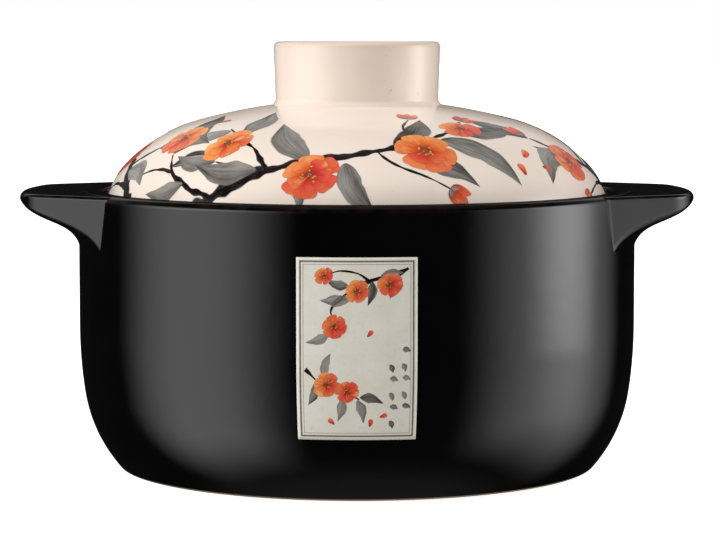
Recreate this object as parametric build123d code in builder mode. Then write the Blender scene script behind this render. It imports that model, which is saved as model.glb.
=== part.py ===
from build123d import *
from math import asin, cos, degrees, hypot, radians, sin, sqrt, tan
import os

# A lidded stoneware casserole: a round pot with two ledge handles luted on at its rim, and a
# domed lid with a ring knob. Millimetres, +Z up, the origin on the table under the pot's middle.
# The front, with the printed panel, looks towards -Y, and the handles point along X.

# Driving sizes of the pot
body_radius = 120.0  # outside of the upright wall
pot_height = 119.7  # table to the top of the rim
wall = 7.5
belly_start = 61.0  # height at which the wall begins to curve in
belly_radius = 190.0
heel_start = 32.9  # height at which the belly hands over to the tighter heel
heel_radius = 63.0
foot_round = 3.0
foot_ring_width = 9.0
foot_recess = 1.8  # hollow under the base, inside the foot ring
foot_recess_slope = 2.5
floor_height = 9.5
floor_corner_radius = 25.0

# Rim and the seat for the lid
rim_width = 10.0
rim_round = 3.0
rim_inner_round = 1.5
seat_depth = 7.4  # from the rim down to the ledge that carries the lid
ledge_width = 5.5
ledge_height = 5.0
ledge_round = 1.2
ledge_corner_round = 0.8
ledge_run_out = 13.0  # height over which the ledge fades into the wall
run_out_round = 6.0

# Lid
lid_clearance = 1.8  # radial gap between the lid's edge and the rim
lid_thickness = 6.0
crown_angle = 14.8
shoulder_radius = 70.0
shoulder_angle = 47.0
skirt_radius = 29.7
skirt_angle = 85.0
lid_edge_round = 1.2
vent_radius = 2.5
vent_distance = 54.0  # from the lid's axis to the steam vent, at the back
vent_round = 0.8

# Ring knob
knob_radius = 35.9
knob_taper = 0.8  # how much narrower the ring is at its foot
knob_height = 26.85  # above the dome at the ring's outer foot
knob_wall = 5.5
knob_round = 2.2
knob_inner_round = 1.8
knob_flare = 1.3
knob_flare_height = 1.9

# Ledge handles
handle_reach = 25.0  # beyond the wall
handle_width = 121.4  # across the top, where the end faces meet the wall
handle_closing_angle = 31.0  # turn of each end face towards the middle, going outward
handle_end_draft = 7.5  # lean of the end faces, in degrees from upright
handle_drop = 0.2  # top of the handle below the rim
handle_root_depth = 23.1  # depth of the root on the wall
handle_nose_radius = 2.6
root_slope = 72.0  # underside at the wall, in degrees above level
root_pull = 12.3
nose_slope = 64.0  # underside where it leaves the nose
nose_pull = 9.7
handle_end_round = 2.4

# Printed panel fired on the front of the pot
panel_width = 48.0
panel_height = 72.5
panel_base = 27.1
panel_thickness = 0.25

os.makedirs("parts", exist_ok=True)


def finish(piece, name):
    """Label a finished piece and write it to its own file."""
    piece.part.label = name
    export_step(piece.part, f"parts/{name}.step")
    print(f"{name}: {piece.part.volume:.0f} mm3, valid {piece.part.is_valid}")


# Places shared by the wall's section and by what sits on the wall
belly_angle = degrees(asin((belly_start - heel_start) / belly_radius))
heel_centre_z = heel_start + heel_radius * sin(radians(belly_angle))
heel_end = degrees(asin((heel_centre_z - foot_round) / (heel_radius - foot_round)))
inner_heel_radius = heel_radius - wall
inner_heel_end = degrees(
    asin((heel_centre_z - floor_height - floor_corner_radius) / (inner_heel_radius - floor_corner_radius))
)
bore_radius = body_radius - wall
seat_height = pot_height - seat_depth
seat_radius = body_radius - rim_width
throat_radius = seat_radius - ledge_width

# The pot's shell is one revolved section: the seat for the lid inside the rim, an upright wall, a
# belly and a heel of tangent arcs, and a foot ring with a shallow hollow inside it.
with BuildPart() as pot_shell:
    with BuildSketch(Plane.XZ):
        with BuildLine():
            upper = FilletPolyline(
                (body_radius, belly_start),
                (body_radius, pot_height),
                (seat_radius, pot_height),
                (seat_radius, seat_height),
                (throat_radius, seat_height),
                (throat_radius, seat_height - ledge_height),
                (bore_radius, seat_height - ledge_height - ledge_run_out),
                (bore_radius, belly_start),
                radius=[
                    rim_round,
                    rim_inner_round,
                    ledge_corner_round,
                    ledge_round,
                    run_out_round,
                    run_out_round,
                ],
            )
            belly = JernArc(upper @ 0, (0, -1), belly_radius, -belly_angle)
            heel = JernArc(belly @ 1, belly % 1, heel_radius, belly_angle - heel_end)
            foot = JernArc(heel @ 1, heel % 1, foot_round, heel_end - 90)
            recess_radius = (foot @ 1).X - foot_ring_width - foot_recess_slope
            base = FilletPolyline(
                foot @ 1,
                (recess_radius + foot_recess_slope, 0),
                (recess_radius, foot_recess),
                (0, foot_recess),
                radius=foot_recess / 2,
            )
            inner_belly = JernArc(upper @ 1, (0, -1), belly_radius - wall, -belly_angle)
            inner_heel = JernArc(
                inner_belly @ 1, inner_belly % 1, inner_heel_radius, belly_angle - inner_heel_end
            )
            floor_corner = JernArc(
                inner_heel @ 1, inner_heel % 1, floor_corner_radius, inner_heel_end - 90
            )
            Polyline(floor_corner @ 1, (0, floor_height), base @ 1)
        make_face()
    revolve(axis=Axis.Z)
finish(pot_shell, "pot_shell")

# A handle's section has a flat top that starts on the rim's outer round, a rounded nose, and an
# underside that swings down into the wall. It is revolved about the pot's axis, so the handle
# hugs the wall, and cut to width by a drafted wedge: its sides, the end faces, close in outward
# and lean in downward.
handle_top = pot_height - handle_drop
shoulder_z = pot_height - rim_round
top_start = body_radius - rim_round + sqrt(rim_round**2 - (handle_top - shoulder_z) ** 2)
tip_radius = body_radius + handle_reach
root = Vector(body_radius, handle_top - handle_root_depth)
root_lead = Vector(cos(radians(root_slope)), sin(radians(root_slope))) * root_pull
half_width = handle_width / 2
closing = tan(radians(handle_closing_angle))
wall_reach = sqrt(body_radius**2 - half_width**2)  # where the end faces meet the wall
wedge_start = wall_reach / 2
wedge_tip = wall_reach + half_width / closing

for name, outward in (("right_handle", 1), ("left_handle", -1)):
    with BuildPart() as handle:
        with BuildSketch(Plane.XZ):
            with BuildLine():
                top = Line((top_start, handle_top), (tip_radius - handle_nose_radius, handle_top))
                nose = JernArc(top @ 1, (1, 0), handle_nose_radius, nose_slope - 180)
                Bezier(nose @ 1, nose @ 1 + nose % 1 * nose_pull, root + root_lead, root)
                Line(root, (body_radius, shoulder_z))
                RadiusArc((body_radius, shoulder_z), top @ 0, -rim_round)
            make_face()
        revolve(axis=Axis.Z)
        with BuildSketch(Plane.XY.offset(handle_top)):
            with BuildLine():
                Polyline(
                    (outward * wedge_start, (wedge_start - wedge_tip) * closing),
                    (outward * wedge_tip, 0),
                    (outward * wedge_start, (wedge_tip - wedge_start) * closing),
                    close=True,
                )
            make_face()
        extrude(amount=-handle_root_depth, taper=handle_end_draft, mode=Mode.INTERSECT)
        ends = handle.faces().sort_by(Axis.Y)
        free_edges = (ends[0].edges() + ends[-1].edges()).filter_by(
            lambda edge: hypot((edge @ 0.5).X, (edge @ 0.5).Y) > body_radius + handle_end_round
        )
        fillet(free_edges, radius=handle_end_round)
    finish(handle, name)

# The lid's dome: a skirt, a shoulder and a crown of tangent arcs, built up from the seat and
# hollowed to one wall thickness. The steam vent is at the back.
lid_radius = seat_radius - lid_clearance
with BuildPart() as lid_dome:
    with BuildSketch(Plane.XZ):
        with BuildLine():
            skirt = JernArc(
                (lid_radius, seat_height),
                (-cos(radians(skirt_angle)), sin(radians(skirt_angle))),
                skirt_radius,
                skirt_angle - shoulder_angle,
            )
            shoulder = JernArc(skirt @ 1, skirt % 1, shoulder_radius, shoulder_angle - crown_angle)
            crown_radius = (shoulder @ 1).X / sin(radians(crown_angle))
            crown = JernArc(shoulder @ 1, shoulder % 1, crown_radius, crown_angle)
            Polyline(crown @ 1, (0, seat_height), (lid_radius, seat_height))
        make_face()
        crown_centre_z = (crown @ 1).Y - crown_radius
    revolve(axis=Axis.Z)
    offset(amount=-lid_thickness, openings=lid_dome.faces().sort_by(Axis.Z)[0])
    fillet(lid_dome.faces().sort_by(Axis.Z)[0].edges(), radius=lid_edge_round)
    with Locations((0, vent_distance, seat_height)):
        Hole(radius=vent_radius)
    vent = lid_dome.faces().filter_by(GeomType.CYLINDER)
    fillet(vent.edges().filter_by(GeomType.LINE, reverse=True), radius=vent_round)
finish(lid_dome, "lid_dome")


def crown_height(distance):
    """Height of the lid's crown above the table, this far from the axis."""
    return crown_centre_z + sqrt(crown_radius**2 - distance**2)


# The knob is a ring like a bowl's foot, luted on the crown: its wall leans out a little, its lip
# is rounded, and it flares where it meets the dome. The lid also stands on it upside down.
knob_foot = knob_radius - knob_taper
knob_top = crown_height(knob_foot) + knob_height
knob_bore = knob_foot - knob_wall
outer_foot = Vector(knob_foot + knob_flare, crown_height(knob_foot + knob_flare))
inner_foot = Vector(knob_bore - knob_flare, crown_height(knob_bore - knob_flare))
foot_middle = (outer_foot.X + inner_foot.X) / 2
with BuildPart() as lid_knob:
    with BuildSketch(Plane.XZ):
        with BuildLine():
            ring = FilletPolyline(
                (knob_foot, outer_foot.Y + knob_flare_height),
                (knob_radius, knob_top),
                (knob_radius - knob_wall, knob_top),
                (knob_bore, inner_foot.Y + knob_flare_height),
                radius=[knob_round, knob_inner_round],
            )
            TangentArc(ring @ 0, outer_foot, tangent=(ring % 0) * -1)
            TangentArc(ring @ 1, inner_foot, tangent=ring % 1)
            ThreePointArc(outer_foot, (foot_middle, crown_height(foot_middle)), inner_foot)
        make_face()
    revolve(axis=Axis.Z)
finish(lid_knob, "lid_knob")

# The panel is a thin fired print that follows the wall, the belly and the start of the heel.
panel_sweep = degrees(panel_width / body_radius)
panel_heel = degrees(asin((heel_centre_z - panel_base) / heel_radius)) - belly_angle
panel_start = Plane.XZ.rotated((0, 0, -90 - panel_sweep / 2))
with BuildPart() as front_panel:
    with BuildSketch(panel_start):
        with BuildLine():
            corners = []
            for layer in (0, panel_thickness):
                upright = Line(
                    (body_radius + layer, panel_base + panel_height), (body_radius + layer, belly_start)
                )
                on_belly = JernArc(upright @ 1, (0, -1), belly_radius + layer, -belly_angle)
                on_heel = JernArc(on_belly @ 1, on_belly % 1, heel_radius + layer, -panel_heel)
                corners.append((upright @ 0, on_heel @ 1))
            for inner_corner, outer_corner in zip(*corners):
                Line(inner_corner, outer_corner)
        make_face()
    revolve(axis=Axis.Z, revolution_arc=panel_sweep)
finish(front_panel, "front_panel")
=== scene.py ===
# %% [markdown]
# # A clay casserole with a painted lid
#
# The object is a round stoneware pot in black glaze with two ledge handles, and a cream lid painted
# with blossoming twigs. CAD holds its true shape. This script adds the finish: smooth glazed skins
# over the CAD solids, the brush painting, the printed panel on the front, and a plain studio.
# The frame comes first, because every piece rides on one of its two bodies, the pot or the lid.

from math import acos, asin, atan2, cos, degrees, hypot, pi, radians, sin, sqrt, tan

import bmesh
import bpy
import numpy as np
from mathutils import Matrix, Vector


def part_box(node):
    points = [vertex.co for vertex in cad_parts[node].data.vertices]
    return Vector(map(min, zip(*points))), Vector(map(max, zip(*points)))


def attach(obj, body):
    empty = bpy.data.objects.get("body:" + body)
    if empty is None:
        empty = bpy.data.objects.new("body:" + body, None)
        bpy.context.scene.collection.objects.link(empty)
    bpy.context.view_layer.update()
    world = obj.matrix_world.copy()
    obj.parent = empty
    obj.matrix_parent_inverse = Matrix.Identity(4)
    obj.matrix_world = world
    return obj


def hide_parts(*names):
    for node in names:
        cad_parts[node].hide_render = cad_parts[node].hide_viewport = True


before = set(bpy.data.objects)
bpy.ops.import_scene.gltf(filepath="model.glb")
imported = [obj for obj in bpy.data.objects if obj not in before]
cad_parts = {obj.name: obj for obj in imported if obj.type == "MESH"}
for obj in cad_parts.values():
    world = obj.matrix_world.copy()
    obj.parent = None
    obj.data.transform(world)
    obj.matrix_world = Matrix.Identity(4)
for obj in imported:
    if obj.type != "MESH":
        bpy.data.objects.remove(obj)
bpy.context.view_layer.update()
MM = 0.001

# %% [markdown]
# ## Camera
#
# The camera stands where the photographer stood: in front of the pot, a little above the lid, and
# far back with a long lens, so the rims look nearly flat.

# %% Camera
camera_distance = 1.2205
camera_height = 0.191
camera_pitch = 5.012

camera_data = bpy.data.cameras.new("camera")
camera_data.lens = 141.8
camera_data.shift_x = 0.00155
camera_data.shift_y = 0.0008
camera = bpy.data.objects.new("camera", camera_data)
camera.location = (0, -camera_distance, camera_height)
camera.rotation_euler = (radians(90 - camera_pitch), 0, 0)
bpy.context.scene.collection.objects.link(camera)
bpy.context.scene.camera = camera
bpy.context.scene.view_settings.view_transform = "Standard"
print("camera", round(degrees(camera.rotation_euler.x), 2), "degrees from straight down")

# %% [markdown]
# ## Shader maths
#
# A finish is easier to read as a formula than as a web of nodes. `Value` wraps one number that the
# shader works out at each point, and arithmetic on it adds Math nodes. `Finish` makes every other
# node from its type, its settings and its sockets.


# %% A number that a shader works out
def plug(tree, socket, term):
    """Link a term into a socket, or set it there when it is a plain value."""
    if isinstance(term, Value):
        tree.links.new(term.socket, socket)
    elif isinstance(term, bpy.types.NodeSocket):
        tree.links.new(term, socket)
    else:
        socket.default_value = term


class Value:
    """A number in a node tree. Expressions on it add Math nodes, so 1 - mask works."""

    def __init__(self, tree, socket):
        self.tree, self.socket = tree, socket

    def math(self, operation, *terms):
        node = self.tree.nodes.new("ShaderNodeMath")
        node.operation = operation
        for socket, term in zip(node.inputs, terms):
            plug(self.tree, socket, term)
        return Value(self.tree, node.outputs[0])

    def __add__(self, other):
        return self.math("ADD", self, other)

    def __sub__(self, other):
        return self.math("SUBTRACT", self, other)

    def __rsub__(self, other):
        return self.math("SUBTRACT", other, self)

    def __mul__(self, other):
        return self.math("MULTIPLY", self, other)

    def __neg__(self):
        return self.math("MULTIPLY", self, -1.0)

    __radd__ = __add__
    __rmul__ = __mul__

    def size(self):
        """The number without its sign."""
        return self.math("ABSOLUTE", self)

    def most(self, other):
        return self.math("MAXIMUM", self, other)

    def least(self, other):
        return self.math("MINIMUM", self, other)

    def rise(self, low, high):
        """A smooth step: 0 below low, 1 above high."""
        node = self.tree.nodes.new("ShaderNodeMapRange")
        node.interpolation_type = "SMOOTHSTEP"
        for key, term in (("Value", self), ("From Min", low), ("From Max", high)):
            plug(self.tree, node.inputs[key], term)
        return Value(self.tree, node.outputs[0])

    def band(self, begin, full, fade, end):
        """A smooth hump: it rises from begin to full and falls from fade to end."""
        return self.rise(begin, full) * (1 - self.rise(fade, end))


# %% Making nodes
def paint(red, green, blue):
    """A colour given as it looks on a screen, 0 to 255, in the linear numbers that a shader takes."""
    channels = [red / 255, green / 255, blue / 255]
    return (*[c / 12.92 if c < 0.04 else ((c + 0.055) / 1.055) ** 2.4 for c in channels], 1.0)


class Finish:
    """The node tree of one material, or of the world."""

    def __init__(self, holder):
        holder.use_nodes = True
        self.holder, self.tree = holder, holder.node_tree
        self.tree.nodes.clear()

    def node(self, kind, settings=(), sockets=()):
        """One node: settings are set first, then each socket gets its value or link."""
        node = self.tree.nodes.new(kind)
        for name, value in dict(settings).items():
            setattr(node, name, value)
        for key, term in dict(sockets).items():
            plug(self.tree, node.inputs[key], term)
        return node

    def number(self, kind, settings=(), sockets=(), output=0):
        return Value(self.tree, self.node(kind, settings, sockets).outputs[output])

    def place(self):
        """The point on the object, in metres."""
        return self.node("ShaderNodeTexCoord").outputs["Object"]

    def mark(self, name):
        """A number stored on the piece's own points."""
        return self.number("ShaderNodeAttribute", {"attribute_name": name}, output=2)

    def vector(self, x, y, z=0.0):
        return self.node("ShaderNodeCombineXYZ", (), {0: x, 1: y, 2: z}).outputs[0]

    def noise(self, vector, scale, detail):
        return self.number("ShaderNodeTexNoise", (), {"Vector": vector, "Scale": scale, "Detail": detail})

    def mix(self, share, first, second):
        """From the first colour to the second by a share of 0 to 1."""
        sockets = {0: share, 6: first, 7: second}
        return self.node("ShaderNodeMix", {"data_type": "RGBA"}, sockets).outputs[2]

    def bump(self, height, distance):
        return self.node("ShaderNodeBump", (), {"Height": height, "Distance": distance}).outputs[0]

    def surface(self, dull=None, **sockets):
        """The closing shader. An underscore in a socket's name stands for a space. A share called dull
        says where the gloss is rubbed off."""
        named = {name.replace("_", " "): term for name, term in sockets.items()}
        shader = self.node("ShaderNodeBsdfPrincipled", (), named)
        if dull is not None:
            rubbed = self.node("ShaderNodeBsdfPrincipled", (), {**named, "Roughness": 0.8, "IOR": 1.08})
            both = {0: dull, 1: shader.outputs[0], 2: rubbed.outputs[0]}
            shader = self.node("ShaderNodeMixShader", (), both)
        self.node("ShaderNodeOutputMaterial", (), {0: shader.outputs[0]})
        return self.holder


def new_finish(name):
    return Finish(bpy.data.materials.new(name))


# %% [markdown]
# ## Outlines
#
# A thrown pot is a section turned about its axis. The section is made of straight runs with rounded
# corners and of long arcs, as the CAD section is, so the skin lies on the solid to a few
# hundredths of a millimetre.


# %% Lines and arcs of a section
def unit(vector):
    return vector / np.linalg.norm(vector)


def heading(angle):
    """The unit direction at an angle from upright, in degrees."""
    return np.array([sin(radians(angle)), cos(radians(angle))])


def arc(centre, radius, start, end, step=1.5):
    """The centre plus radius times (sin a, cos a), a running from start to end, in degrees from the top."""
    count = max(9, int(abs(radians(end - start)) * radius / step) + 2)
    a = np.radians(np.linspace(start, end, count))
    return np.array(centre) + radius * np.column_stack([np.sin(a), np.cos(a)])


def rounded(corners, radii, steps=8):
    """A line through the corners, with each inner corner replaced by an arc that touches both its sides."""
    corners = np.array(corners, float)
    parts = [corners[:1]]
    for before, corner, after, radius in zip(corners, corners[1:], corners[2:], radii):
        back, ahead = unit(before - corner), unit(after - corner)
        half = acos(back @ ahead) / 2
        middle = corner + unit(back + ahead) * radius / sin(half)
        first, last = (atan2(*(corner + side * radius / tan(half) - middle)) for side in (back, ahead))
        turn = (last - first + pi) % (2 * pi) - pi
        a = first + turn * np.linspace(0, 1, steps + 1)
        parts.append(middle + radius * np.column_stack([np.sin(a), np.cos(a)]))
    return np.vstack([*parts, corners[-1:]])


def refine(line, longest=2.2, margin=0.2):
    """The same line with points added on long runs, near their ends too, to hold the corners' shading."""
    parts = []
    for start, end in zip(line, line[1:]):
        run = hypot(*(end - start))
        shares = np.array([0.0])
        if run > longest:
            inner = np.linspace(margin / run, 1 - margin / run, int(run / longest) + 2)
            shares = np.concatenate([[0.0], inner])
        parts.append(start + shares[:, None] * (end - start))
    return np.vstack([*parts, line[-1:]])


def edge_thinning(line):
    """How sharply a line turns outwards at each point, from 0 on a flat to 1 on a tight corner."""
    ahead = np.gradient(line, axis=0)
    length = np.hypot(*ahead.T)
    turn = np.unwrap(np.arctan2(ahead[:, 1], ahead[:, 0]))
    bend = np.gradient(turn) / np.maximum(length, 1e-6)
    return np.clip(bend / 0.5, 0, 1)


# %% Grids and pieces
def revolve(line, columns):
    """A grid: each point's radius times (sin a, -cos a) and its height, a once round from the front."""
    a = 2 * pi * np.arange(columns) / columns
    r, z = line[:, :1], line[:, 1:]
    return np.stack([r * np.sin(a), -r * np.cos(a), np.broadcast_to(z, (len(line), columns))], axis=-1)


def cells(rows, columns, closed, first, kept=None):
    """Corner numbers of a grid's faces. A closed grid's last column meets its first."""
    numbers = first + np.arange(rows * columns).reshape(rows, columns)
    if closed:
        numbers = np.column_stack([numbers, numbers[:, :1]])
    corners = (numbers[:-1, :-1], numbers[:-1, 1:], numbers[1:, 1:], numbers[1:, :-1])
    faces = np.stack(corners, axis=-1)
    return faces.reshape(-1, 4) if kept is None else faces[kept]


def make_piece(name, grids, finish, body, replaces=(), marks=(), weld=0.0):
    """A mesh from grids of points in millimetres. After its points, a grid says if its columns close on
    themselves, and may say which faces are kept. Marks are numbers stored on the points. A welded piece
    is a closed skin, turned to face outwards."""
    points = np.vstack([grid[0].reshape(-1, 3) for grid in grids]) * MM
    starts = np.cumsum([0] + [grid[0].shape[0] * grid[0].shape[1] for grid in grids])
    faces = [cells(*grid[0].shape[:2], grid[1], start, *grid[2:]) for grid, start in zip(grids, starts)]
    mesh = bpy.data.meshes.new(name)
    mesh.from_pydata(points.tolist(), [], np.vstack(faces).tolist())
    for mark, values in dict(marks).items():
        stored = mesh.attributes.new(mark, "FLOAT", "POINT")
        stored.data.foreach_set("value", np.concatenate([v.ravel() for v in values]).astype(np.float32))
    if weld:
        skin = bmesh.new()
        skin.from_mesh(mesh)
        bmesh.ops.remove_doubles(skin, verts=skin.verts, dist=weld * MM)
        bmesh.ops.recalc_face_normals(skin, faces=skin.faces)
        skin.to_mesh(mesh)
        skin.free()
    mesh.shade_smooth()
    mesh.materials.append(finish)
    piece = bpy.data.objects.new(name, mesh)
    bpy.context.scene.collection.objects.link(piece)
    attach(piece, body)
    if replaces:
        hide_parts(*replaces)
    print(name, len(mesh.vertices), "points", len(mesh.polygons), "faces")


# %% [markdown]
# ## Black glaze
#
# The pot is dipped in an iron-black glaze that melts to a deep gloss. Up close it is not one flat
# black: it has a faint brown cast where it runs thin over an edge, its surface waves a little, and
# the ring it stands on and the seat of the lid are wiped bare, down to the grey-brown clay. The
# rim's flat top is rubbed dull, so it stays black where a gloss would mirror the lid.


# %% Clay and black glaze
def clay_colour(finish, place):
    """Fired clay: two browns in a fine grain."""
    return finish.mix(finish.noise(place, 900, 4), paint(126, 108, 92), paint(158, 139, 120))


def black_glaze():
    glaze = new_finish("black_glaze")
    place = glaze.place()
    bare = glaze.mark("bare")
    thin = glaze.mark("thin")
    rubbed = glaze.mark("rubbed") * 0.95
    cloud = glaze.noise(place, 24, 3)
    grain = glaze.noise(place, 1400, 3)
    body = glaze.mix(cloud.rise(0.3, 0.7), paint(4, 4, 5), paint(9, 8, 8))
    brown = thin * glaze.noise(place, 160, 3).rise(0.35, 0.75) * 0.7
    body = glaze.mix(brown, body, paint(40, 27, 20))
    colour = glaze.mix(bare, body, clay_colour(glaze, place))
    roughness = 0.07 + cloud * 0.05 + thin * 0.05
    roughness = roughness + bare * (0.8 - roughness)
    wave = glaze.noise(place, 70, 2) * 0.5 + glaze.noise(place, 320, 2) * 0.06
    height = wave * (1 - bare) + grain * bare * 0.35
    return glaze.surface(
        rubbed, Base_Color=colour, Roughness=roughness, IOR=1.5, Normal=glaze.bump(height, 0.00012)
    )


black = black_glaze()
print("black glaze", len(black.node_tree.nodes), "nodes")

# %% [markdown]
# ## The pot
#
# The shell could be a solid with its cavity cut out, but one closed section says it all: the wall
# outside, the rim, the seat for the lid, the wall inside, the floor, and the hollow under the base.

# %% Section of the pot
body_radius, _, pot_height = np.array(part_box("pot_shell")[1]) / MM
wall = 7.5
belly_start = 61.0
belly_radius = 190.0
heel_start = 32.9
heel_radius = 63.0
foot_round = 3.0
foot_ring_width = 9.0
foot_recess = 1.8
foot_recess_slope = 2.5
floor_height = 9.5
floor_corner_radius = 25.0
rim_width = 10.0
rim_round = 3.0
rim_inner_round = 1.5
seat_depth = 7.4
ledge_width = 5.5
ledge_height = 5.0
ledge_run_out = 13.0
ledge_round = 1.2
ledge_corner_round = 0.8
run_out_round = 6.0

belly_centre = np.array([body_radius - belly_radius, belly_start])
belly_end = 90 + degrees(asin((belly_start - heel_start) / belly_radius))
heel_centre = belly_centre + (belly_radius - heel_radius) * heading(belly_end)


def wall_line(inset, height, corner):
    """Belly, heel and the corner at the bottom, drawn inset from the outside, from the top down. The heel
    stops where it touches the corner's arc, which stands on the given height."""
    stop = 90 + degrees(asin((heel_centre[1] - height - corner) / (heel_radius - inset - corner)))
    corner_centre = heel_centre + (heel_radius - inset - corner) * heading(stop)
    return np.vstack(
        [
            arc(belly_centre, belly_radius - inset, 90, belly_end),
            arc(heel_centre, heel_radius - inset, belly_end, stop)[1:],
            arc(corner_centre, corner, stop, 180, step=0.7)[1:],
        ]
    )


outside = wall_line(0, 0, foot_round)
inside = wall_line(wall, floor_height, floor_corner_radius)
foot_inner = outside[-1, 0] - foot_ring_width
seat_height = pot_height - seat_depth
seat_radius = body_radius - rim_width
throat_radius = seat_radius - ledge_width
bore_radius = body_radius - wall
base = rounded(
    [(0, foot_recess), (foot_inner - foot_recess_slope, foot_recess), (foot_inner, 0), outside[-1]],
    [foot_recess / 2] * 2,
)
rim = rounded(
    [
        outside[0],
        (body_radius, pot_height),
        (seat_radius, pot_height),
        (seat_radius, seat_height),
        (throat_radius, seat_height),
        (throat_radius, seat_height - ledge_height),
        (bore_radius, seat_height - ledge_height - ledge_run_out),
        inside[0],
    ],
    [rim_round, rim_inner_round, ledge_corner_round, ledge_round, run_out_round, run_out_round],
)
pot_line = refine(np.vstack([base[:-1], outside[::-1], rim[1:-1], inside, [(0, floor_height)]]))
print("pot section", len(pot_line), "points, rim at", round(pot_height, 2), "mm")


# %% The pot's skin
def spread(values, columns):
    """Numbers along a section, repeated round the axis."""
    return np.repeat(values[:, None], columns, axis=1)


pot_columns = 272
radius_along, height_along = pot_line.T
on_seat = (radius_along < seat_radius - 0.4) & (abs(height_along - seat_height + 2) < 2.6)
on_foot = (height_along < 0.9) & (radius_along > foot_inner - 1)
pot_bare = np.where((on_seat & (radius_along > throat_radius - 0.5)) | on_foot, 1.0, 0.0)
pot_rubbed = np.where((height_along > pot_height - 0.3) & (radius_along < body_radius - 2), 1.0, 0.0)
make_piece(
    "pot_shell_glazed",
    [(revolve(pot_line, pot_columns), True)],
    black,
    "pot",
    replaces=["pot_shell"],
    marks={
        "bare": [spread(pot_bare, pot_columns)],
        "thin": [spread(edge_thinning(pot_line), pot_columns)],
        "rubbed": [spread(pot_rubbed, pot_columns)],
    },
    weld=0.01,
)

# %% [markdown]
# ## Ledge handles
#
# Each handle is a slab of clay luted on at the rim and wiped to the wall's curve. Its section is
# turned about the pot's axis, then cut by two end faces that lean in downward and close in outward,
# and whose edges are softened by a wet sponge. Here a point's place along the section and its place
# across the handle are the two parameters, and next to each end face the section is drawn in on an
# arc to round the edge.

# %% Section of a handle
handle_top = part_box("right_handle")[1][2] / MM
tip_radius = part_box("right_handle")[1][0] / MM
handle_width = 121.4
closing_angle = radians(31.0)
end_draft = radians(7.5)
top_edge_round = 1.6
lower_edge_round = 4.8
round_growth = 10.0
corner_round = 20.0
wall_fillet = 4.0
fillet_bite = 0.25
rim_centre = np.array([body_radius, pot_height]) - rim_round
top_start = rim_centre[0] + sqrt(rim_round**2 - (handle_top - rim_centre[1]) ** 2)
nose_radius = 2.6
nose_slope = 64.0
nose_centre = np.array([tip_radius, handle_top]) - nose_radius
nose = arc(nose_centre, nose_radius, 90, 180 - nose_slope, 0.4)
nose_pull = 9.7
nose_lead = -nose_pull * heading(90 - nose_slope)
root_depth = 23.1
root_slope = 72.0
root_pull = 12.3
root = np.array([body_radius, handle_top - root_depth])
root_lead = root_pull * heading(90 - root_slope)
embed = 0.8


def bezier(points, count):
    """A cubic curve: the four points weighted by (1-t)^3, 3t(1-t)^2, 3t^2(1-t) and t^3."""
    t = np.linspace(0, 1, count)[:, None]
    weights = ((1 - t) ** 3, 3 * t * (1 - t) ** 2, 3 * t**2 * (1 - t), t**3)
    return sum(weight * np.array(point) for weight, point in zip(weights, points))


underside = bezier([nose[-1], nose[-1] + nose_lead, root + root_lead, root], 48)
lower = np.vstack([nose, underside[1:], [root - embed * unit(root_lead)]])
upper_r = np.interp(lower[:, 0], (lower[-1, 0], tip_radius), (top_start - embed, tip_radius))
past_nose = np.maximum(upper_r - nose_centre[0], 0)
upper = np.column_stack([upper_r, nose_centre[1] + np.sqrt(nose_radius**2 - past_nose**2)])
handle_line = np.vstack([upper[::-1], lower[1:]])
print("handle section", len(handle_line), "points, reach", round(tip_radius, 2), "mm")


# %% The handles' skins
def outward(line):
    """The direction out of the handle at each point: its heading turned by a right angle."""
    ahead = np.gradient(line, axis=0)
    ahead /= np.linalg.norm(ahead, axis=1, keepdims=True)
    return np.column_stack([-ahead[:, 1], ahead[:, 0]])


def end_face(section, gap=0.0):
    """Where the end face meets a section point of radius r: the bearing there, and the sine of the angle
    between that bearing and the face. The face is a plane at a distance D from the pot's axis, turned by
    the closing angle s, so the sine is D / r and the bearing is its arcsine less s. Two upright arcs of
    radius c ease it: a round corner into the tip, and a hollow fillet, whose c is negative, into the wall.
    The middle of each lies c in from the plane, and the law of cosines gives both numbers there."""
    wall_reach = sqrt(body_radius**2 - handle_width**2 / 4)
    distance = handle_width / 2 * cos(closing_angle) + wall_reach * sin(closing_angle)
    distance = distance - (handle_top - section[..., 1]) * tan(end_draft)
    r = section[..., 0]
    sine = (distance - gap / cos(end_draft)) / r
    bearing = np.arcsin(sine) - closing_angle
    for radius, c in ((tip_radius, corner_round), (body_radius - fillet_bite, -wall_fillet)):
        middle = radius - c
        middle_turn = np.arcsin((distance - c) / middle)
        touch = np.hypot(distance, middle * np.cos(middle_turn))
        here = r > touch if c > 0 else r < touch
        c = c - gap
        turn = np.arccos(np.clip((r**2 + middle**2 - c**2) / (2 * r * middle), -1, 1))
        arc_sine = np.clip((r**2 + c**2 - middle**2) / (2 * r * c), -1, 1)
        bearing = np.where(here, middle_turn - closing_angle + np.sign(c) * turn, bearing)
        sine = np.where(here, arc_sine, sine)
    return bearing, sine


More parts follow.
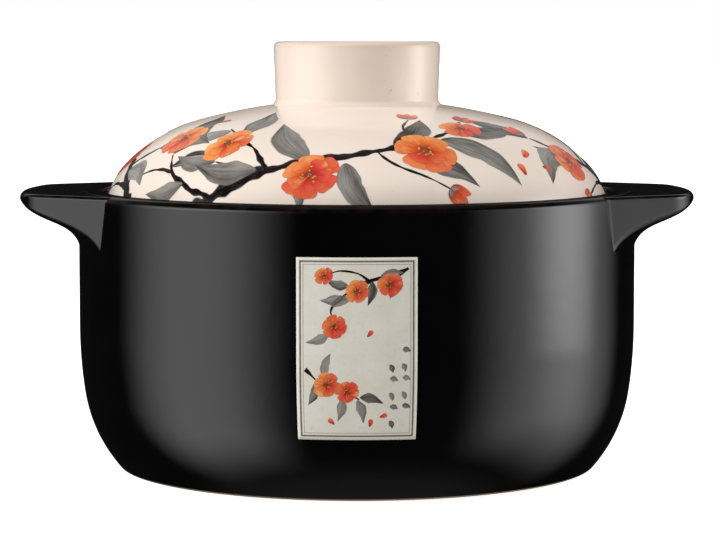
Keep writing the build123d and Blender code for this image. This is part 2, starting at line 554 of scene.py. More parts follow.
def handle_grids(side):
    """The swept skin, the back against the wall, and the two end faces, whose strips run from the upper
    half of the section straight down to the lower half. Where face and skin meet, their normals are an
    angle q apart, and the edge is rounded with a radius R: a share t of the way round, the section is
    drawn in by R (1 - cos(q - t q)) and stands R (1 - cos(t q)) short of the face."""

    def stand(section, across, gap):
        bearing = across * end_face(section, gap)[0]
        r, z = section[..., 0], section[..., 1]
        return np.stack([side * r * np.cos(bearing), r * np.sin(bearing), 0 * bearing + z], axis=-1)

    normal = outward(handle_line)
    parting = normal[:, 0] * end_face(handle_line)[1] * cos(end_draft) - normal[:, 1] * sin(end_draft)
    q = np.arccos(np.clip(parting, -1, 1))[:, None]
    lowered = np.clip((handle_top - handle_line[:, 1:]) / round_growth, 0, 1)
    end_round = top_edge_round + (lower_edge_round - top_edge_round) * lowered**2 * (3 - 2 * lowered)
    t = np.linspace(0, 1, 9)
    middle = np.linspace(-1, 1, 59)[1:-1]
    t = np.concatenate([t, 0 * middle + 1, t[::-1]])
    share = np.concatenate([np.zeros(9) - 1, middle, np.zeros(9) + 1])
    drawn_in = end_round * (1 - np.cos(q - t * q))
    from_end = end_round * (1 - np.cos(t * q))
    lines = handle_line[:, None] - drawn_in[..., None] * normal[:, None]
    across = np.linspace(0, 1, 15)[:, None, None]
    tip = len(lower) - 1
    skin = stand(lines, share, from_end)
    gap = from_end[0] * (1 - across[..., 0]) + from_end[-1] * across[..., 0]
    back = stand(lines[0] * (1 - across) + lines[-1] * across, share, gap)
    faces = [
        stand(lines[tip::-1, column] * (1 - across) + lines[tip:, column] * across, way, 0)
        for column, way in ((0, -1), (-1, 1))
    ]
    thin = edge_thinning(handle_line)[:, None] * 0.8 + np.sin(pi * t)
    marks = [np.clip(thin, 0, 1)] + [0 * grid[..., 0] for grid in (back, *faces)]
    return [(grid, False) for grid in (skin, back, *faces)], marks


for name, side in (("right_handle", 1), ("left_handle", -1)):
    grids, thin = handle_grids(side)
    make_piece(
        name + "_glazed", grids, black, "pot", [name], marks={"thin": thin}, weld=0.01
    )

# %% [markdown]
# ## Cream glaze
#
# The lid has a clear gloss over a cream slip. The cream clouds from warm to cool over a few
# centimetres, carries a few iron specks, and shows the clay where the edge is wiped clean to sit
# on its seat.


# %% Cream glaze
def cream_glaze():
    glaze = new_finish("cream_glaze")
    place = glaze.place()
    bare = glaze.mark("bare")
    cloud = glaze.noise(place, 22, 3)
    fine = glaze.noise(place, 260, 3)
    speck = glaze.noise(place, 520, 1).rise(0.745, 0.79) * glaze.noise(place, 45, 1).rise(0.45, 0.7)
    body = glaze.mix(cloud.rise(0.3, 0.7), paint(242, 225, 211), paint(247, 232, 219))
    body = glaze.mix(glaze.mark("thin") * 0.5, body, paint(222, 196, 168))
    body = glaze.mix(speck * 0.45, body, paint(150, 112, 80))
    colour = glaze.mix(bare, body, clay_colour(glaze, place))
    roughness = 0.13 + fine * 0.06
    roughness = roughness + bare * (0.75 - roughness)
    wave = glaze.noise(place, 60, 2) * 0.5 + fine * 0.08
    return glaze.surface(Base_Color=colour, Roughness=roughness, IOR=1.5, Normal=glaze.bump(wave, 0.0001))


cream = cream_glaze()
print("cream glaze", len(cream.node_tree.nodes), "nodes")

# %% [markdown]
# ## The lid
#
# The dome is three arcs, crown, shoulder and skirt, that meet smoothly. The painting needs the same
# shape, so one function gives the section at any distance along the arcs. The steam vent behind the
# knob could be cut with a Boolean, but that leaves ragged faces on a glossy skin. Here a block of
# faces is left out of the grid and a tube joins its border, through the hole, to the inside.

# %% Section of the dome
lid_clearance = 1.8
lid_radius = seat_radius - lid_clearance
lid_thickness = 6.0
crown_angle = 14.8
shoulder_angle = 47.0
skirt_angle = 85.0
shoulder_radius = 70.0
skirt_radius = 29.7
lid_edge_round = 1.2


skirt_centre = np.array([lid_radius, seat_height]) - skirt_radius * heading(skirt_angle)
shoulder_centre = skirt_centre + (skirt_radius - shoulder_radius) * heading(shoulder_angle)
crown_edge = shoulder_centre + shoulder_radius * heading(crown_angle)
crown_radius = crown_edge[0] / sin(radians(crown_angle))
crown_centre = crown_edge - crown_radius * heading(crown_angle)
dome_arcs = (
    (crown_centre, crown_radius, 0, crown_angle),
    (shoulder_centre, shoulder_radius, crown_angle, shoulder_angle),
    (skirt_centre, skirt_radius, shoulder_angle, skirt_angle),
)


def dome(distance):
    """Radius, height and tilt of the dome at a distance along its arcs from the apex. On each arc the
    tilt grows by the distance run over the arc's radius."""
    radius, height, tilt = (np.zeros_like(distance) for _ in range(3))
    begun = 0.0
    for centre, arc_radius, start, end in dome_arcs:
        here = distance >= begun
        angle = radians(start) + (distance - begun) / arc_radius
        radius = np.where(here, centre[0] + arc_radius * np.sin(angle), radius)
        height = np.where(here, centre[1] + arc_radius * np.cos(angle), height)
        tilt = np.where(here, angle, tilt)
        begun += radians(end - start) * arc_radius
    return radius, height, tilt


def crown_height(radius, depth=0.0):
    """Height of the crown at a radius, or of the face that lies depth below it."""
    return crown_centre[1] + np.sqrt((crown_radius - depth) ** 2 - np.asarray(radius) ** 2)


print("crown radius", round(crown_radius, 1), "apex", round(float(crown_height(0)), 2), "mm")

# %% The dome's skin and its vent
lid_columns = 320
arc_counts = (46, 30, 18)
edge_start = skirt_angle - 4.5


def dome_line(depth):
    """The dome's arcs from the apex to short of the edge, depth below the outside."""
    lines = []
    for (centre, radius, start, end), count in zip(dome_arcs, arc_counts):
        angles = np.radians(np.linspace(start, min(end, edge_start), count))
        lines.append(centre + (radius - depth) * np.column_stack([np.sin(angles), np.cos(angles)]))
    return np.vstack([lines[0], lines[1][1:], lines[2][1:]])


outer_dome, inner_dome = dome_line(0), dome_line(lid_thickness)
edge_corners = [skirt_centre + (skirt_radius - depth) * heading(skirt_angle) for depth in (0, lid_thickness)]
lid_edge = rounded([outer_dome[-1], *edge_corners, inner_dome[-1]], [lid_edge_round] * 2)
lid_line = np.vstack([outer_dome, lid_edge[1:-1], inner_dome[::-1]])

vent_radius = 2.5
vent_round = 0.8
vent_distance = 54.0
block_rows = (32, 41)
block_columns = (lid_columns // 2 - 7, lid_columns // 2 + 7)


def block_border(rows, columns):
    """Row and column numbers of the grid points once round a block."""
    down, across = np.arange(*rows), np.arange(*columns)
    row = np.concatenate([0 * across + rows[0], down, 0 * across + rows[1], down[::-1] + 1])
    column = np.concatenate([across, 0 * down + columns[1], across[::-1] + 1, 0 * down + columns[0]])
    return row, column


def vent_rings(border, depth):
    """Rings from the border of the block in to the vent's wall, on the face that lies depth below the
    outside. A ring's plan is mixed from the border and a circle, then a quarter circle turns it into
    the hole."""
    offset = border[:, :2] - (0, vent_distance)
    direction = offset / np.linalg.norm(offset, axis=1, keepdims=True)
    rings = []
    for t in np.linspace(0, 1, 6):
        plan = (1 - t) * offset + t * (vent_radius + vent_round) * direction
        rings.append((plan, 0.0))
    for q in np.linspace(0, pi / 2, 6)[1:]:
        rings.append(((vent_radius + vent_round * (1 - sin(q))) * direction, vent_round * (1 - cos(q))))
    stacked = []
    for plan, sunk in rings:
        xy = plan + (0, vent_distance)
        height = crown_height(np.hypot(*xy.T), depth) + (sunk if depth else -sunk)
        stacked.append(np.column_stack([xy, height]))
    return np.array(stacked)


lid_grid = revolve(lid_line, lid_columns)
left_out = np.ones((len(lid_line) - 1, lid_columns), bool)
inner_rows = (len(lid_line) - 1 - block_rows[1], len(lid_line) - 1 - block_rows[0])
for rows in (block_rows, inner_rows):
    left_out[slice(*rows), slice(*block_columns)] = False
row, column = block_border(block_rows, block_columns)
outer_rings = vent_rings(lid_grid[row, column], 0)
inner_rings = vent_rings(lid_grid[len(lid_line) - 1 - row, column], lid_thickness)
vent_tube = np.concatenate([outer_rings, inner_rings[::-1]])
lid_bare = spread(np.where(lid_line[:, 1] < seat_height + 1.6, 1.0, 0.0), lid_columns)
lid_thin = spread(edge_thinning(lid_line), lid_columns)
make_piece(
    "lid_dome_glazed",
    [(lid_grid, True, left_out), (vent_tube, True)],
    cream,
    "lid",
    replaces=["lid_dome"],
    marks={"bare": [lid_bare, vent_tube[..., 0] * 0], "thin": [lid_thin, vent_tube[..., 0] * 0]},
    weld=0.01,
)

# %% [markdown]
# ## The ring knob
#
# The knob is a ring like a bowl's foot: it is thrown with the lid, gives the fingers a rim to hold,
# and lets the lid stand upside down. Its wall leans out a little and flares where it meets the dome.

# %% The knob's skin
knob_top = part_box("lid_knob")[1][2] / MM
knob_radius = 35.9
knob_taper = 0.8
knob_wall = 5.5
knob_round = 2.2
knob_inner_round = 1.8
knob_flare = 1.3
knob_flare_height = 1.9
knob_flare_round = 2.4
knob_sunk_round = 0.4
knob_foot = knob_radius - knob_taper
knob_bore = knob_foot - knob_wall
outer_foot, inner_foot = knob_foot + knob_flare, knob_bore - knob_flare
sunk = 1.0
knob_line = refine(
    rounded(
        [
            (outer_foot + 0.3, crown_height(outer_foot) - sunk),
            (outer_foot, crown_height(outer_foot)),
            (knob_foot, crown_height(outer_foot) + knob_flare_height),
            (knob_radius, knob_top),
            (knob_radius - knob_wall, knob_top),
            (knob_bore, crown_height(inner_foot) + knob_flare_height),
            (inner_foot, crown_height(inner_foot)),
            (inner_foot - 0.3, crown_height(inner_foot) - sunk),
        ],
        [
            knob_sunk_round,
            knob_flare_round,
            knob_round,
            knob_inner_round,
            knob_flare_round,
            knob_sunk_round,
        ],
    )
)
knob_line = np.vstack([knob_line, knob_line[:1]])
knob_columns = 256
make_piece(
    "lid_knob_glazed",
    [(revolve(knob_line, knob_columns), True)],
    cream,
    "lid",
    replaces=["lid_knob"],
    marks={"thin": [spread(edge_thinning(knob_line), knob_columns)]},
    weld=0.01,
)

# %% [markdown]
# ## The printed panel
#
# A panel like this is printed in ceramic colours on a film, slid onto the glazed wall and fired
# once more, so it lies in the gloss with hardly any thickness. It follows the wall and then the
# belly. Its own two coordinates, millimetres across and up, are stored on its points, and the
# ruled border reads them.

# %% Charts of the wall and of the dome
panel_width = 48.0
panel_low, panel_high = (corner[2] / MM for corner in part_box("front_panel"))
panel_middle = (panel_low + panel_high) / 2
panel_lift = 0.1
panel_sunk = 0.1
panel_rows, panel_columns = 60, 40


def on_wall(chart, lift):
    """A point this far across and up the front: the way across over the body's radius is its bearing,
    and its radius comes from the arc of the wall that its height falls on."""
    across, height = chart[..., 0], chart[..., 1]
    drop = np.maximum(belly_start - height, 0)
    belly_turn = np.arcsin(np.minimum(drop, belly_start - heel_start) / belly_radius)
    heel_turn = np.arcsin((heel_centre[1] - height) / heel_radius)
    on_heel = height < heel_start
    turn = np.where(on_heel, heel_turn, belly_turn)
    radius = np.where(
        on_heel,
        heel_centre[0] + heel_radius * np.cos(heel_turn),
        belly_centre[0] + belly_radius * np.cos(belly_turn),
    )
    radius = radius + lift * np.cos(turn)
    bearing = across / body_radius
    return np.stack([radius * np.sin(bearing), -radius * np.cos(bearing), height - lift * np.sin(turn)], -1)


def on_dome(chart, lift):
    """A point of the flat chart of the lid: its distance from the middle is its way along the arcs,
    and its direction is kept. The lift is along the dome's normal."""
    distance = np.hypot(chart[..., 0], chart[..., 1])
    radius, height, tilt = dome(distance)
    out = chart / distance[..., None]
    flat = out * (radius + lift * np.sin(tilt))[..., None]
    return np.concatenate([flat, (height + lift * np.cos(tilt))[..., None]], axis=-1)


# %% The panel and its border
def panel_print():
    glaze = new_finish("panel_print")
    place = glaze.place()
    across, up = glaze.mark("across").size(), glaze.mark("up").size()
    inset = (panel_width / 2 - across).least((panel_high - panel_low) / 2 - up)
    wobble = glaze.noise(place, 900, 2) * 0.12
    rule = inset.band(1.1, 1.3 + wobble, 1.75 + wobble, 2.0)
    hairline = inset.band(2.55, 2.7, 2.8, 2.95)
    cloud = glaze.noise(place, 90, 3)
    grain = glaze.noise(place, 700, 3)
    ground = glaze.mix(cloud.rise(0.3, 0.7), paint(229, 223, 208), paint(235, 230, 218))
    ground = glaze.mix(grain.rise(0.5, 0.8) * 0.25, ground, paint(202, 191, 170))
    ink = (rule + hairline * 0.7) * (0.75 + grain * 0.3)
    colour = glaze.mix(ink.least(1), ground, paint(92, 86, 80))
    return glaze.surface(
        Base_Color=colour, Roughness=0.2 + grain * 0.08, IOR=1.5, Normal=glaze.bump(grain, 0.00004)
    )


def slab_grids(front, back):
    """A thin closed plate: its front, its back and the edge that joins their borders."""
    row, column = block_border((0, front.shape[0] - 1), (0, front.shape[1] - 1))
    return [(front, False), (back, False), (np.stack([front[row, column], back[row, column]]), True)]


panel_across, panel_up = np.meshgrid(
    np.linspace(-panel_width / 2, panel_width / 2, panel_columns + 1),
    np.linspace(panel_low, panel_high, panel_rows + 1),
)
panel_chart = np.stack([panel_across, panel_up], axis=-1)
panel_grids = slab_grids(on_wall(panel_chart, panel_lift), on_wall(panel_chart, -panel_sunk))
row, column = block_border((0, panel_rows), (0, panel_columns))
edge_across, edge_up = (np.stack([v[row, column]] * 2) for v in (panel_across, panel_up))
make_piece(
    "front_panel_print",
    panel_grids,
    panel_print(),
    "pot",
    replaces=["front_panel"],
    marks={
        "across": [panel_across, panel_across, edge_across],
        "up": [v - panel_middle for v in (panel_up, panel_up, edge_up)],
    },
    weld=0.001,
)

# %% [markdown]
# ## Brush strokes
#
# The painting is done with a soft brush and ceramic colours: one stroke to a leaf, one to a petal.
# A texture on the dome would need a picture, so each stroke is a thin sheet that lies on the glaze,
# with its own coordinates along and across. Its colour can then pool at the edge, streak with the
# hairs and fade out, as a real stroke's does.


# %% One stroke
def through(points, count):
    """A smooth line through given points: on each stretch a cubic whose slope at a point is half the
    step between that point's neighbours."""
    points = np.array(points, float)
    padded = np.vstack([2 * points[0] - points[1], points, 2 * points[-1] - points[-2]])
    where = np.linspace(0, len(points) - 1 - 1e-9, count)
    stretch = where.astype(int)
    t = (where - stretch)[:, None]
    before, start, end, after = (padded[stretch + step] for step in range(4))
    slope_in, slope_out = (end - before) / 2, (after - start) / 2
    return (
        start * (1 + 2 * t) * (1 - t) ** 2
        + slope_in * t * (1 - t) ** 2
        + end * t**2 * (3 - 2 * t)
        + slope_out * t**2 * (t - 1)
    )


def ways(angle):
    """The unit direction at an angle in degrees, and the one to its left."""
    turn = radians(angle)
    return np.array([[cos(turn), sin(turn)], [-sin(turn), cos(turn)]])


def stroke(spine, half_width, columns=9):
    """The chart points of a stroke: the spine plus its left-hand normal times v half widths, where v
    runs from -1 to 1."""
    ahead = np.gradient(spine, axis=0)
    ahead /= np.maximum(np.linalg.norm(ahead, axis=1, keepdims=True), 1e-9)
    left = np.column_stack([-ahead[:, 1], ahead[:, 0]])
    v = np.linspace(-1, 1, columns)
    return spine[:, None] + left[:, None] * (half_width[:, None] * v)[..., None]


class Painting:
    """Strokes gathered by kind, each with a lift that keeps later strokes above earlier ones."""

    def __init__(self, surface, seed, ply):
        self.surface, self.random, self.ply = surface, np.random.default_rng(seed), ply
        self.kinds = {}

    def add(self, kind, chart, lift, tone=None):
        rows, columns = chart.shape[:2]
        u = spread(np.linspace(0, 1, rows), columns)
        v = np.broadcast_to(np.linspace(-1, 1, columns), (rows, columns))
        seed = self.random.uniform(0, 1)
        tone = self.random.uniform(0, 1) if tone is None else tone
        length = np.linalg.norm(np.diff(chart[:, columns // 2], axis=0), axis=1).sum()
        values = {"along": u, "across": v}
        for mark, value in (("seed", seed), ("tone", tone), ("length", length)):
            values[mark] = 0 * u + value
        self.kinds.setdefault(kind, []).append((self.surface(chart, lift), values))

    def leaf(self, base, angle, length, width, bend, lift):
        """A pointed leaf on a bent spine. Its half width is a sine of the share along, raised early."""
        ahead, left = ways(angle)
        tip = base + ahead * length
        spine = through([base, (base + tip) / 2 + left * bend, tip], 26)
        t = np.linspace(0, 1, 26)
        wobble = 1 + 0.09 * np.sin(t * 9 + self.random.uniform(0, 6)) + 0.04 * np.sin(t * 23)
        half = width / 2 * np.sin(pi * t**0.76) ** 1.15 * wobble
        self.add("leaves", stroke(spine, half, 11), lift)

    def twig(self, points, start, end, lift):
        """A knotted twig that narrows from its start to its end, with a swelling at every joint."""
        length = np.linalg.norm(np.diff(np.array(points), axis=0), axis=1).sum()
        count = max(12, int(length / 0.9))
        t = np.linspace(0, 1, count)
        phase = self.random.uniform(0, 6, 3)
        knots = np.sin(t * length / 3.1 + phase[0]) * np.sin(t * length / 7.3 + phase[1])
        knots = knots + 0.4 * np.sin(t * length / 1.1 + phase[2])
        half = (start + (end - start) * t**0.8) / 2 * (1 + 0.4 * knots)
        spine = through(points, count)
        jitter = np.sin(t * length / 2.3 + phase[2]) * (start + (end - start) * t) * 0.06
        self.add("twigs", stroke(spine + jitter[:, None], half, 7), lift)

    def blossom(self, centre, radius, angle, squash, lift, tone=None):
        """Two rings of rounded petals round a heart of stamens, seen a little from the side: across the
        angle it is squashed. A petal's half width grows as t^0.7 and closes as the root of 1 - t^6."""
        tone = self.random.uniform(0, 1) if tone is None else tone

        def stand(chart):
            return (chart * (1, squash)) @ ways(angle) + centre

        for ring, (count, reach, first) in enumerate(((6, 1.0, 0.3), (5, 0.72, 0.9))):
            for k in range(count):
                way = first + 2 * pi * k / count + self.random.uniform(-0.12, 0.12)
                far = radius * reach * self.random.uniform(0.92, 1.06)
                out = np.array([cos(way), sin(way)])
                side = np.array([-out[1], out[0]])
                t = np.linspace(0, 1, 16)
                curl = self.random.uniform(-0.1, 0.1) * far
                spine = out * (0.06 * radius + t[:, None] * far) + side * (curl * t**2)[:, None]
                half = 0.62 * far * t**0.7 * np.sqrt(np.maximum(1 - t**6, 0))
                shade = tone + 0.4 * cos(way - 2.2) + self.random.uniform(-0.2, 0.2) - 0.2 * ring
                shade = np.clip(shade, 0, 1)
                self.add("petals", stand(stroke(spine, half, 11)), lift + self.ply * (ring * 6 + k), shade)
        for k in range(11):
            way, far = self.random.uniform(0, 2 * pi), radius * self.random.uniform(0.16, 0.4)
            out = np.array([cos(way), sin(way)])
            t = np.linspace(0, 1, 7)
            thread = stroke(out * (t[:, None] * far), 0 * t + 0.16 * (1 + radius / 30), 3)
            self.add("stamens", stand(thread), lift + self.ply * 12, 0.15)
            dot = stroke(out * (far + (t[:, None] - 0.5) * radius * 0.09), radius * 0.05 * np.sin(pi * t), 5)
            self.add("stamens", stand(dot), lift + self.ply * 13, self.random.uniform(0.5, 1))

    def petal(self, base, angle, length, lift, tone):
        """A fallen petal: one stroke, broad near its tip."""
        ahead, left = ways(angle)
        t = np.linspace(0, 1, 16)
        spine = base + ahead * (t[:, None] * length) + left * (0.18 * length * t**2)[:, None]
        half = 0.42 * length * t**0.6 * np.sqrt(np.maximum(1 - t**5, 0))
        self.add("petals", stroke(spine, half), lift, tone)

    def bud(self, base, angle, length, lift, tone=0.2):
        """Three overlapping petals in a pointed bud, with two small sepals at its base."""
        for k, spread_angle in enumerate((-26, 26, 0)):
            t = np.linspace(0, 1, 14)
            spine = base + ways(angle + spread_angle)[0] * (t[:, None] * length)
            half = length * 0.3 * np.sin(pi * t**0.75) ** 0.8
            self.add("petals", stroke(spine, half), lift + self.ply * k, tone)
        for spread_angle in (-42, 42):
            self.leaf(base, angle + spread_angle, length * 0.5, length * 0.24, 0, lift + self.ply * 3)

    def finish(self, prefix, body, slot, finishes):
        for kind, strokes in self.kinds.items():
            marks = {mark: [values[mark] for _, values in strokes] for mark in strokes[0][1]}
            grids = [(grid, False) for grid, _ in strokes]
            make_piece(f"{prefix}_{kind}", grids, finishes[kind], body, marks=marks)


# %% [markdown]
# ## Ceramic colours
#
# Each kind of stroke has its own finish. A leaf is a watery grey wash, darker where the brush was
# loaded and pale where it ran thin. A petal runs from deep red at the heart to pale orange at its
# edge, with a line where the colour pooled. A twig is dark and dry, so the ground shows through.


# %% Finishes of the strokes
def stroke_finish(name, colour_and_cover):
    """A glossy finish for strokes: the function gives its colour and how much of the ground it covers."""
    glaze = new_finish(name)
    along, across, seed, tone, length = (
        glaze.mark(mark) for mark in ("along", "across", "seed", "tone", "length")
    )

    def hairs(lengthwise, crosswise, detail=3.0):
        """Noise drawn out along the stroke, another pattern for every seed."""
        where = glaze.vector(along * length * lengthwise, across * crosswise, seed * 97.0)
        return glaze.noise(where, 1.0, detail)

    colour, cover = colour_and_cover(glaze, hairs, along, across, tone)
    wave = glaze.noise(glaze.place(), 60, 2) * 0.5
    return glaze.surface(
        Base_Color=colour,
        Roughness=0.15 + hairs(0.3, 2.0) * 0.06,
        IOR=1.5,
        Alpha=cover.least(1),
        Normal=glaze.bump(wave, 0.0001),
    )


def leaf_wash(glaze, hairs, along, across, tone):
    streak, cloud = hairs(0.05, 5.0, 4), hairs(0.09, 1.3)
    side = across.rise(-0.4, 0.7) * 0.22
    midrib = (1 - across.size().rise(0.015, 0.08)) * (1 - along.rise(0.7, 0.95))
    load = along.rise(0.5, 1.0) * 0.2 + (1 - along.rise(0.0, 0.3)) * 0.15
    dark = (streak * 0.9 - cloud * 0.7 + side + load + tone * 0.45 + 0.2).least(1).most(0)
    wash = glaze.mix(dark, paint(188, 182, 174), paint(64, 60, 57))
    colour = glaze.mix(midrib * 0.3, wash, paint(70, 63, 58))
    cover = (1 - across.size()).rise(0.0, 0.1 + streak * 0.16) * along.rise(0.0, 0.04)
    return colour, cover * (0.82 + streak * 0.3)


def petal_wash(glaze, hairs, along, across, tone):
    streak, cloud = hairs(0.06, 3.5, 4), hairs(0.16, 1.4)
    mid = glaze.mix(tone, paint(208, 52, 40), paint(238, 122, 44))
    edge = glaze.mix(tone, paint(228, 92, 66), paint(248, 172, 92))
    colour = glaze.mix(along.rise(0.0, 0.5), paint(170, 36, 32), mid)
    colour = glaze.mix((along + cloud * 0.9 - 0.5).rise(0.2, 0.9), colour, edge)
    colour = glaze.mix(streak.rise(0.5, 0.8) * 0.35, colour, paint(200, 50, 36))
    colour = glaze.mix(hairs(0.1, 0.8).rise(0.55, 0.75) * 0.5, colour, paint(250, 196, 120))
    rim = across.size().rise(0.88, 0.98).most(along.rise(0.95, 0.99))
    colour = glaze.mix(rim * 0.22, colour, paint(190, 56, 38))
    cover = (1 - across.size()).rise(0.0, 0.07) * (1 - along).rise(0.0, 0.02)
    return colour, cover


def twig_ink(glaze, hairs, along, across, tone):
    dry, fine = hairs(0.35, 2.4, 4), hairs(1.2, 5.0, 3)
    light = (across + fine * 0.5).rise(0.3, 1.1) * 0.4
    shade = (dry.rise(0.45, 0.8) * 0.6 + light).least(1)
    colour = glaze.mix(shade, paint(19, 15, 16), paint(70, 62, 56))
    cover = (1 - across.size()).rise(0.0, 0.1 + dry * 0.4) * (dry + fine * 0.4).rise(0.32, 0.42)
    return colour, cover


def stamen_ink(glaze, hairs, along, across, tone):
    colour = glaze.mix(tone, paint(92, 30, 22), paint(246, 204, 104))
    colour = glaze.mix(hairs(1.0, 1.0) * 0.5, colour, paint(150, 80, 30))
    return colour, (1 - across.size()).rise(0.0, 0.3)


stroke_finishes = {
    "leaves": stroke_finish("leaf_wash", leaf_wash),
    "petals": stroke_finish("petal_wash", petal_wash),
    "twigs": stroke_finish("twig_ink", twig_ink),
    "stamens": stroke_finish("stamen_ink", stamen_ink),
}
print("stroke finishes", sorted(stroke_finishes))

# %% [markdown]
# ## The lid's painting
#
# The design is a generic one for this kind of ware: flowering twigs that grow in from the rim, with
# grey leaves and orange-red blossoms, and a few loose petals. It is laid out on the lid's flat chart.
# A bearing turns from the front to the right, and a reach runs along the dome from its apex.


# %% Sprays on the lid
def spot(bearing, reach):
    """A point of the lid's chart."""
    return reach * np.array([sin(radians(bearing)), -cos(radians(bearing))])


def paint_spray(painting, turn, flip, twigs, leaves, blossoms, buds):
    """A spray turned round the lid, and mirrored where flip is -1. Angles are seen from outside, knob up:
    0 points right and 90 points to the knob."""

    def there(bearing, reach):
        return spot(turn + flip * bearing, reach)

    def facing(bearing, angle):
        return (angle if flip > 0 else 180 - angle) + turn + flip * bearing

    for points, start, end in twigs:
        painting.twig([there(*point) for point in points], start, end, 0.03)
    for k, (bearing, reach, angle, length, width, bend) in enumerate(leaves):
        lift = 0.05 + 0.012 * (k % 4)
        painting.leaf(there(bearing, reach), facing(bearing, angle), length, width, flip * bend, lift)
    for bearing, reach, radius, angle, squash, tone in blossoms:
        painting.blossom(there(bearing, reach), radius, facing(bearing, angle), squash, 0.1, tone)
    for bearing, reach, angle, length in buds:
        painting.bud(there(bearing, reach), facing(bearing, angle), length, 0.11)


long_spray = {
    "twigs": [
        ([(-42, 129), (-33, 117), (-22, 104), (-9, 98), (5, 92), (17, 86), (29, 78), (40, 67)], 8.5, 1.2),
        ([(-22, 104), (-27, 93), (-35, 84), (-44, 76)], 3.0, 0.9),
        ([(5, 92), (9, 100), (15, 106), (21, 113)], 2.0, 0.9),
        ([(17, 86), (15, 74), (20, 62)], 1.9, 0.8),
        ([(-34, 118), (-41, 114), (-49, 107), (-55, 97)], 4.2, 1.0),
        ([(-49, 107), (-56, 106), (-62, 110)], 2.2, 0.9),
        ([(-27, 110), (-30, 103), (-37, 100)], 2.4, 0.9),
    ],
    "leaves": [
        (-12, 98, 118, 36, 14, 4),
        (-3, 99, -58, 28, 12, -4),
        (-16, 103, -68, 22, 9, 2),
        (-24, 104, 168, 34, 13, 4),
        (10, 90, 62, 34, 13, -4),
        (24, 84, -38, 40, 15, 4),
        (30, 77, 12, 38, 13, -4),
        (15, 100, -20, 28, 11, 3),
        (-36, 82, 100, 32, 12, -3),
        (-42, 78, 190, 30, 12, 4),
        (-37, 100, 168, 26, 10, 3),
        (-43, 112, -172, 25, 9, 3),
        (-55, 97, 96, 26, 10, -3),
        (-51, 104, 20, 24, 9, 3),
    ],
    "blossoms": [
        (-11, 106, 12.5, 20, 0.86, 0.15),
        (18, 92, 13.0, -30, 0.9, 0.55),
        (-38, 88, 11.0, 60, 0.85, 0.7),
        (35, 75, 9.5, 10, 0.8, 0.3),
    ],
    "buds": [(21, 113, -40, 10), (20, 61, 70, 9), (41, 66, 30, 10)],
}
rim_spray = {
    "twigs": [
        ([(19, 129), (13, 118), (4, 106), (-5, 97), (-13, 86)], 9.0, 1.8),
        ([(4, 106), (11, 95), (20, 86)], 3.0, 0.9),
        ([(12, 117), (4, 115), (-5, 119)], 2.6, 0.9),
    ],
    "leaves": [
        (1, 103, 150, 32, 13, 4),
        (-8, 95, -150, 30, 12, -3),
        (12, 94, 20, 34, 13, 4),
        (18, 87, 110, 30, 12, -4),
        (-13, 86, 120, 34, 12, 3),
        (6, 108, -8, 26, 11, 3),
    ],
    "blossoms": [(-6, 102, 12.0, 40, 0.85, 0.25), (19, 86, 11.5, -20, 0.9, 0.6)],
    "buds": [(-14, 84, 100, 10), (-5, 119, 200, 8)],
}
lid_painting = Painting(on_dome, 5, 0.01)
paint_spray(lid_painting, 0, 1, **long_spray)
paint_spray(lid_painting, 72, 1, **rim_spray)
paint_spray(lid_painting, -78, 1, **rim_spray)
paint_spray(lid_painting, 178, -1, **long_spray)
paint_spray(lid_painting, 118, -1, **rim_spray)
for bearing, reach, angle in ((47, 98, 30), (51, 104, -20), (43, 108, 75), (-58, 70, 40), (128, 72, 10)):
    lid_painting.petal(spot(bearing, reach), angle + bearing, 6.5, 0.06, 0.2)
lid_painting.finish("lid_painted", "lid", "cream_glaze", stroke_finishes)

# %% [markdown]
# ## The panel's painting
#
# The same flowers in small, coming down from one corner, with dry petals adrift below. The space at
# the right is filled with two loose columns of small grey leaves.

# %% Flowers on the panel
panel_painting = Painting(on_wall, 9, 0.006)


def panel_spot(across, up):
    """A point of the wall's chart, from the middle of the panel."""
    return np.array([across, panel_middle + up])


panel_twigs = (
    ([(20.5, 32), (14, 29), (5, 27), (-4, 22), (-10, 16), (-9, 10)], 2.4, 0.7),
    ([(5, 27), (0, 30), (-7, 31), (-12, 29)], 1.2, 0.6),
    ([(-20.5, -8), (-15, -13), (-7, -15), (1, -20)], 1.9, 0.5),
)
for points, start, end in panel_twigs:
    panel_painting.twig([panel_spot(*point) for point in points], start, end, panel_lift + 0.012)
panel_leaves = (
    (17, 29, -115), (9, 28, 14), (6, 27, -100), (-3, 25, 165), (-5, 21, 190), (-10, 17, 20), (-11, 6, 200),
    (-13, -11, 75), (-16, -13, -110), (1, -19, -15), (0, -20, -75), (-6, -19, -100),
)
for across, up, angle in panel_leaves:
    panel_painting.leaf(panel_spot(across, up), angle, 10, 4, 0.8, panel_lift + 0.022)
panel_blossoms = (
    (13, 25.5, 5.0, 0.2), (0, 23, 4.6, 0.5), (-9, 9, 4.8, 0.1),
    (-12, -14, 5.2, 0.4), (-4, -17, 4.6, 0.0), (-13, 29, 3.6, 0.3),
)
for across, up, radius, tone in panel_blossoms:
    panel_painting.blossom(panel_spot(across, up), radius, 30, 0.9, panel_lift + 0.03, tone)
for across, up, angle in ((4, 5, 40), (9, -27, 10), (5, -31, 70), (-9, -30, 130)):
    panel_painting.petal(panel_spot(across, up), angle, 3.2, panel_lift + 0.03, 0.1)
for column, (across, top) in enumerate(((13, -6), (18, 0))):
    for k in range(5):
        angle = -70 + 55 * ((k + column) % 2)
        panel_painting.leaf(panel_spot(across, top - 5.6 * k), angle, 3.6, 2.4, 0.3, panel_lift + 0.02)
panel_painting.finish("panel_painted", "pot", "printed_panel", stroke_finishes)

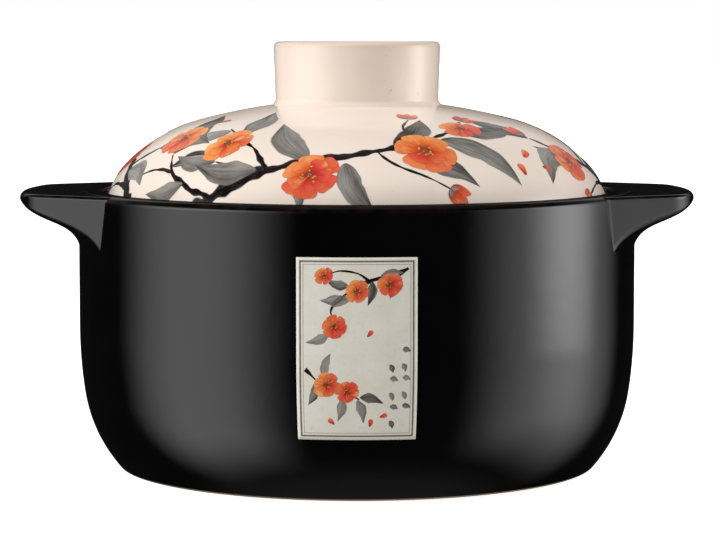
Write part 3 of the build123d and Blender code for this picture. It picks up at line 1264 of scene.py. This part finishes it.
# %% [markdown]
# ## Studio
#
# The pot stands on a white table in a white room. Two tall soft panels at its sides draw the long
# grey bands on the black glaze, and the wall in front of it is dark, as it is behind a camera. The
# world shader plays these panels, because their edges can then fade as a soft box's do. A lamp at
# the left, a weaker one at the right and one above, none of them seen in the glaze, model the lid.


# %% Table
def studio_floor():
    cloth = new_finish("pale_table")
    weave = cloth.noise(cloth.place(), 3, 2)
    colour = cloth.mix(weave, (0.93, 0.93, 0.93, 1), (0.95, 0.95, 0.95, 1))
    return cloth.surface(
        Base_Color=colour, Roughness=0.9, Emission_Color=(1, 1, 1, 1), Emission_Strength=0.75
    )


floor_mesh = bpy.data.meshes.new("table")
floor_size = 12.0
floor_drop = -0.00005
corners = [(x, y, floor_drop) for x, y in ((-1, -1), (1, -1), (1, 1), (-1, 1))]
floor_mesh.from_pydata([(x * floor_size, y * floor_size, z) for x, y, z in corners], [], [(0, 1, 2, 3)])
floor_mesh.materials.append(studio_floor())
floor = bpy.data.objects.new("table", floor_mesh)
floor.visible_glossy = False
floor.visible_diffuse = False
bpy.context.scene.collection.objects.link(floor)


# %% Room and soft panels
def studio_world():
    """Light by direction: an azimuth turns from the front to the right, an elevation rises from level."""
    world = bpy.data.worlds.new("studio")
    room = Finish(world)
    direction = room.node("ShaderNodeTexCoord").outputs["Generated"]
    parts = room.node("ShaderNodeSeparateXYZ", (), {0: direction}).outputs
    x, y, z = (Value(room.tree, part) for part in parts)
    azimuth = x.math("ARCTAN2", x, -y) * degrees(1)
    elevation = z.math("ARCSINE", z) * degrees(1)
    below = 1 - elevation.rise(15, 30)
    left = (-azimuth).band(22, 60, 74, 115) * elevation.rise(-66, -28) * 1.85
    left = left * (1 + elevation.rise(-3, 10) * 0.6) * below
    right = azimuth.band(40, 76, 97, 138) * elevation.rise(-54, -20) * below * 1.4
    peak = azimuth.band(68, 92, 93, 118) * below * 3.0
    peak = peak * (elevation.rise(-32, -11) * 0.3 + elevation.rise(-10, -4) * 0.7)
    behind = azimuth.size()
    back = behind.rise(135, 160) * elevation.band(13, 20, 34, 54) * 0.3
    flank = behind.band(100, 130, 166, 178) * elevation.band(3, 12, 30, 50) * 0.12
    top = elevation.rise(50, 80) * 0.15
    table = (-elevation).rise(45, 80) * 0.13
    glossy = left + right + peak + back + flank + top + table + 0.006
    paths = room.node("ShaderNodeLightPath").outputs
    camera_ray, glossy_ray = (Value(room.tree, paths[name]) for name in ("Is Camera Ray", "Is Glossy Ray"))
    ambient = 0.6
    strength = glossy_ray * glossy + (1 - glossy_ray) * ambient
    strength = camera_ray + (1 - camera_ray) * strength
    background = room.node("ShaderNodeBackground", (), {"Color": (1, 1, 1, 1), "Strength": strength})
    room.node("ShaderNodeOutputWorld", (), {0: background.outputs[0]})
    world.cycles.sampling_method = "NONE"
    return world


def soft_lamp(name, azimuth, elevation, distance, size, power):
    """A square lamp that looks at the lid from a bearing and a height, and isn't seen in the glaze."""
    data = bpy.data.lights.new(name, "AREA")
    data.size, data.energy = size, power
    lamp = bpy.data.objects.new(name, data)
    a, e = radians(azimuth), radians(elevation)
    out = np.array([sin(a) * cos(e), -cos(a) * cos(e), sin(e)])
    lamp.location = (0, 0, 0.1) + distance * out
    lamp.rotation_euler = (pi / 2 - e, 0, a)
    lamp.visible_glossy = False
    lamp.visible_camera = False
    bpy.context.scene.collection.objects.link(lamp)


bpy.context.scene.world = studio_world()
soft_lamp("key", -75, 25, 2.6, 1.2, 41.5)
soft_lamp("side", 100, 12, 2.6, 0.7, 21)
soft_lamp("above", 20, 75, 2.6, 1.2, 10)
print("studio ready")
